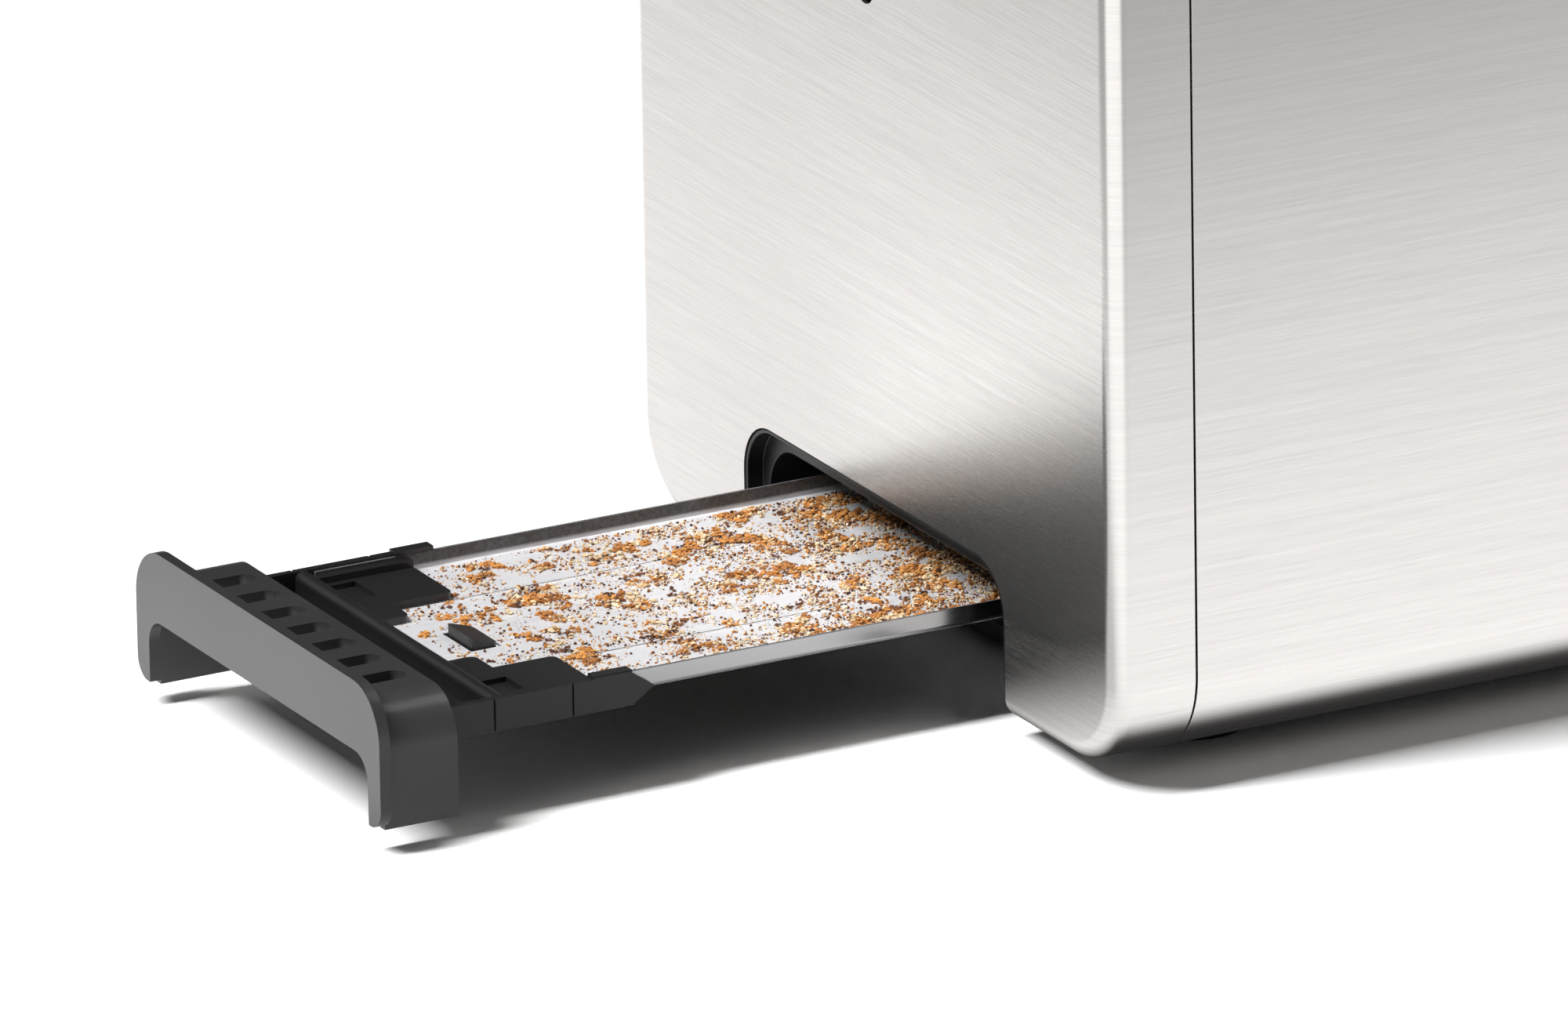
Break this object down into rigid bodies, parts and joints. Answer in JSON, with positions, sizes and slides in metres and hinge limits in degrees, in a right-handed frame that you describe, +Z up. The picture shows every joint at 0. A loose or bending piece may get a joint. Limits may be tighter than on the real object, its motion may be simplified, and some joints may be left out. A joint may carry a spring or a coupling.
{
  "type": "pop-up toaster",
  "caption": "Pop-up toaster with a brushed steel body, lift lever, browning dial, push buttons and a crumb tray drawn out at the lever end.",
  "frame": {"origin": "middle of the underside of the whole object as drawn, with the tray pulled out, on the surface that the feet stand on", "axes": "+X from the tray end to the cord end, +Y to the left side seen from the tray end, +Z up"},
  "size_m": [0.4, 0.165, 0.1894],
  "materials": {
    "brushed_stainless": "fine straight brushing, satin",
    "black_plastic": "fine moulded grain, satin",
    "grey_plastic": "fine moulded grain, satin",
    "foot_rubber": "matt",
    "pan_steel": "rolled sheet, slightly mottled by heat",
    "chassis_steel": "galvanised sheet",
    "mica_card": "flaky mica board",
    "heating_ribbon": "oxidised ribbon",
    "wire_chrome": "bright plated wire",
    "magnet_copper": "varnished copper winding",
    "circuit_board": "solder resist",
    "board_parts": "moulded component bodies",
    "dial_plastic": "fine moulded grain",
    "button_plastic": "smooth moulded caps",
    "light_pipe": "clear moulded plastic",
    "terminal_plastic": "natural nylon",
    "wire_insulation": "smooth insulation",
    "screw_steel": "zinc plated"
  },
  "bodies": {
    "root": {"end_cap_front": "brushed_stainless", "end_cap_rear": "brushed_stainless", "wrap_cover": "brushed_stainless", "slot_trim": "black_plastic", "base_plate": "black_plastic", "foot_front_left": "foot_rubber", "foot_front_right": "foot_rubber", "foot_rear_left": "foot_rubber", "foot_rear_right": "foot_rubber", "tray_bezel": "black_plastic", "front_bulkhead": "chassis_steel", "rear_bulkhead": "chassis_steel", "heater_card_left": "mica_card", "heater_card_centre": "mica_card", "heater_card_right": "mica_card", "heater_winding_left": "heating_ribbon", "heater_winding_centre": "heating_ribbon", "heater_winding_right": "heating_ribbon", "reflector_left": "pan_steel", "reflector_right": "pan_steel", "guide_rod_left": "wire_chrome", "guide_rod_right": "wire_chrome", "electromagnet": "magnet_copper", "control_panel": "black_plastic", "control_board": "circuit_board", "board_components": "board_parts", "dial_pot": "chassis_steel", "light_pipes": "light_pipe", "cord_gland": "black_plastic", "terminal_block": "terminal_plastic", "mains_wires": "wire_insulation", "base_screws": "screw_steel", "cap_screws": "screw_steel", "board_screws": "screw_steel"},
    "tray": {"tray_handle": "grey_plastic", "tray_carrier": "black_plastic", "tray_pan": "pan_steel"},
    "carriage": {"carriage_bracket": "chassis_steel", "bread_rack_left": "wire_chrome", "bread_rack_right": "wire_chrome", "lever_arm": "chassis_steel", "lever_knob": "black_plastic", "armature": "chassis_steel", "carriage_spring": "wire_chrome"},
    "dial": {"browning_dial": "dial_plastic", "dial_shaft": "wire_chrome"},
    "button_upper": {"button_upper": "button_plastic"},
    "button_middle": {"button_middle": "button_plastic"},
    "button_lower": {"button_lower": "button_plastic"},
    "guide_left_outer": {"guide_left_outer": "wire_chrome"},
    "guide_left_inner": {"guide_left_inner": "wire_chrome"},
    "guide_right_inner": {"guide_right_inner": "wire_chrome"},
    "guide_right_outer": {"guide_right_outer": "wire_chrome"}
  },
  "joints": [
    {"name": "tray_slide", "type": "slide", "parent": "root", "child": "tray", "axis": [-1, 0, 0], "range_m": [-0.114, 0.145]},
    {"name": "carriage_slide", "type": "slide", "parent": "root", "child": "carriage", "axis": [0, 0, -1], "range_m": [0, 0.052], "stiffness_N_per_m": 60, "springref_m": -0.07, "deforming": ["carriage_spring"]},
    {"name": "browning_turn", "type": "hinge", "parent": "root", "child": "dial", "pos_m": [-0.094, -0.045, 0.1505], "axis": [-1, 0, 0], "range_deg": [0, 270]},
    {"name": "button_lower_press", "type": "slide", "parent": "root", "child": "button_lower", "axis": [1, 0, 0], "range_m": [0, 0.0012], "stiffness_N_per_m": 400, "springref_m": -0.002},
    {"name": "button_middle_press", "type": "slide", "parent": "root", "child": "button_middle", "axis": [1, 0, 0], "range_m": [0, 0.0012], "stiffness_N_per_m": 400, "springref_m": -0.002},
    {"name": "button_upper_press", "type": "slide", "parent": "root", "child": "button_upper", "axis": [1, 0, 0], "range_m": [0, 0.0012], "stiffness_N_per_m": 400, "springref_m": -0.002},
    {"name": "guide_left_outer_tilt", "type": "hinge", "parent": "root", "child": "guide_left_outer", "pos_m": [-0.002, 0.042, 0.0345], "axis": [1, 0, 0], "range_deg": [0, 4]},
    {"name": "guide_left_inner_tilt", "type": "hinge", "parent": "root", "child": "guide_left_inner", "pos_m": [-0.002, 0.012, 0.0345], "axis": [-1, 0, 0], "range_deg": [0, 4]},
    {"name": "guide_right_outer_tilt", "type": "hinge", "parent": "root", "child": "guide_right_outer", "pos_m": [-0.002, -0.042, 0.0345], "axis": [-1, 0, 0], "range_deg": [0, 4]},
    {"name": "guide_right_inner_tilt", "type": "hinge", "parent": "root", "child": "guide_right_inner", "pos_m": [-0.002, -0.012, 0.0345], "axis": [1, 0, 0], "range_deg": [0, 4]}
  ],
  "couplings": [
    {"joint": "guide_left_outer_tilt", "follows": "carriage_slide", "rad_per_m": 1.3023},
    {"joint": "guide_left_inner_tilt", "follows": "carriage_slide", "rad_per_m": 1.3023},
    {"joint": "guide_right_outer_tilt", "follows": "carriage_slide", "rad_per_m": 1.3023},
    {"joint": "guide_right_inner_tilt", "follows": "carriage_slide", "rad_per_m": 1.3023}
  ]
}
